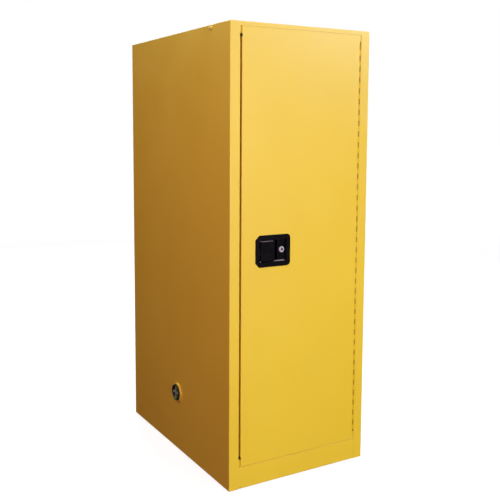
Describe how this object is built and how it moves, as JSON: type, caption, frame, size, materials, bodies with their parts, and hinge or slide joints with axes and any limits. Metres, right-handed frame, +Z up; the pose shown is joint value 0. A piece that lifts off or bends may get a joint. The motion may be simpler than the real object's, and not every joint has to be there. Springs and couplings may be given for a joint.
{
  "type": "flammable storage cabinet",
  "caption": "Tall, narrow and deep double-walled steel safety cabinet with a right-hinged door, recessed paddle latch, spill trays and side vents.",
  "frame": {"origin": "centre of the cabinet body's footprint, on the floor", "axes": "+X right seen from the front, +Y towards the back, +Z up"},
  "size_m": [0.621, 0.8625, 1.65],
  "materials": {
    "yellow_powder_coat": "semi-gloss powder coat with a slight orange peel",
    "zinc_plated_steel": "zinc plated",
    "cast_zinc": "dull cast",
    "black_paint": "satin black",
    "chrome": "polished",
    "brass": "turned",
    "rubber": "matt"
  },
  "bodies": {
    "cabinet": {"left_side_panel": "yellow_powder_coat", "right_side_panel": "yellow_powder_coat", "back_panel": "yellow_powder_coat", "top_panel": "yellow_powder_coat", "toe_panel": "yellow_powder_coat", "bottom_panel": "yellow_powder_coat", "left_liner": "yellow_powder_coat", "right_liner": "yellow_powder_coat", "back_liner": "yellow_powder_coat", "top_liner": "yellow_powder_coat", "sump_pan": "yellow_powder_coat", "wall_spacers": "zinc_plated_steel", "pan_supports": "zinc_plated_steel", "shelf_standards": "zinc_plated_steel", "lower_shelf_clips": "zinc_plated_steel", "middle_shelf_clips": "zinc_plated_steel", "upper_shelf_clips": "zinc_plated_steel", "frame_hinge_leaf": "zinc_plated_steel", "hinge_pin": "zinc_plated_steel", "frame_hinge_rivets": "zinc_plated_steel", "strike_plates": "zinc_plated_steel", "vent_collars": "yellow_powder_coat", "vent_gaskets": "rubber", "vent_screens": "zinc_plated_steel", "ground_stud": "brass", "ground_stud_fixings": "brass", "foot_nuts": "zinc_plated_steel"},
    "door": {"door_skin": "yellow_powder_coat", "door_inner_pan": "yellow_powder_coat", "door_stiffener": "zinc_plated_steel", "door_hinge_leaf": "yellow_powder_coat", "door_hinge_rivets": "zinc_plated_steel", "latch_dish": "black_paint", "latch_screws": "zinc_plated_steel", "paddle_pin": "zinc_plated_steel", "paddle_spring": "zinc_plated_steel", "cam_nut": "zinc_plated_steel", "lock_body": "chrome", "lock_nut": "zinc_plated_steel", "rod_guides": "zinc_plated_steel"},
    "paddle": {"latch_paddle": "black_paint"},
    "cam": {"latch_cam": "zinc_plated_steel"},
    "top_rod": {"top_rod": "zinc_plated_steel"},
    "bottom_rod": {"bottom_rod": "zinc_plated_steel"},
    "side_bolt": {"side_bolt": "zinc_plated_steel"},
    "key_plug": {"lock_plug": "chrome", "lock_cam": "zinc_plated_steel"},
    "lower_shelf": {"lower_shelf": "yellow_powder_coat"},
    "middle_shelf": {"middle_shelf": "yellow_powder_coat"},
    "upper_shelf": {"upper_shelf": "yellow_powder_coat"},
    "left_vent_plug": {"left_vent_plug": "cast_zinc"},
    "right_vent_plug": {"right_vent_plug": "cast_zinc"},
    "front_left_foot": {"front_left_foot": "zinc_plated_steel"},
    "front_right_foot": {"front_right_foot": "zinc_plated_steel"},
    "back_left_foot": {"back_left_foot": "zinc_plated_steel"},
    "back_right_foot": {"back_right_foot": "zinc_plated_steel"}
  },
  "joints": [
    {"name": "door_swing", "type": "hinge", "parent": "cabinet", "child": "door", "pos_m": [0.2567, -0.4285, 0.86], "axis": [0, 0, 1], "range_deg": [0, 130]},
    {"name": "paddle_pull", "type": "hinge", "parent": "door", "child": "paddle", "pos_m": [-0.172, -0.424, 0.857], "axis": [0, 0, -1], "range_deg": [0, 35], "stiffness_Nm_per_rad": 1, "springref_deg": -17.19},
    {"name": "cam_turn", "type": "hinge", "parent": "door", "child": "cam", "pos_m": [-0.135, -0.403, 0.857], "axis": [0, 1, 0], "range_deg": [0, 35]},
    {"name": "top_rod_slide", "type": "slide", "parent": "door", "child": "top_rod", "axis": [0, 0, -1], "range_m": [0, 0.01724]},
    {"name": "bottom_rod_slide", "type": "slide", "parent": "door", "child": "bottom_rod", "axis": [0, 0, 1], "range_m": [0, 0.01724]},
    {"name": "side_bolt_slide", "type": "slide", "parent": "door", "child": "side_bolt", "axis": [1, 0, 0], "range_m": [0, 0.01724]},
    {"name": "key_turn", "type": "hinge", "parent": "door", "child": "key_plug", "pos_m": [-0.081, -0.41, 0.858], "axis": [0, 1, 0], "range_deg": [0, 90]},
    {"name": "lower_shelf_lift", "type": "slide", "parent": "cabinet", "child": "lower_shelf", "axis": [0, 0, 1], "range_m": [0, 0.03]},
    {"name": "middle_shelf_lift", "type": "slide", "parent": "cabinet", "child": "middle_shelf", "axis": [0, 0, 1], "range_m": [0, 0.03]},
    {"name": "upper_shelf_lift", "type": "slide", "parent": "cabinet", "child": "upper_shelf", "axis": [0, 0, 1], "range_m": [0, 0.03]},
    {"name": "left_vent_plug_out", "type": "slide", "parent": "cabinet", "child": "left_vent_plug", "axis": [-1, 0, 0], "range_m": [0, 0.05]},
    {"name": "right_vent_plug_out", "type": "slide", "parent": "cabinet", "child": "right_vent_plug", "axis": [1, 0, 0], "range_m": [0, 0.05]},
    {"name": "front_left_foot_screw", "type": "slide", "parent": "cabinet", "child": "front_left_foot", "axis": [0, 0, -1], "range_m": [0, 0.015]},
    {"name": "front_right_foot_screw", "type": "slide", "parent": "cabinet", "child": "front_right_foot", "axis": [0, 0, -1], "range_m": [0, 0.015]},
    {"name": "back_left_foot_screw", "type": "slide", "parent": "cabinet", "child": "back_left_foot", "axis": [0, 0, -1], "range_m": [0, 0.015]},
    {"name": "back_right_foot_screw", "type": "slide", "parent": "cabinet", "child": "back_right_foot", "axis": [0, 0, -1], "range_m": [0, 0.015]}
  ],
  "couplings": [
    {"joint": "cam_turn", "follows": "paddle_pull", "ratio": 1},
    {"joint": "top_rod_slide", "follows": "paddle_pull", "m_per_rad": 0.0282},
    {"joint": "bottom_rod_slide", "follows": "paddle_pull", "m_per_rad": 0.0282},
    {"joint": "side_bolt_slide", "follows": "paddle_pull", "m_per_rad": 0.0282}
  ]
}
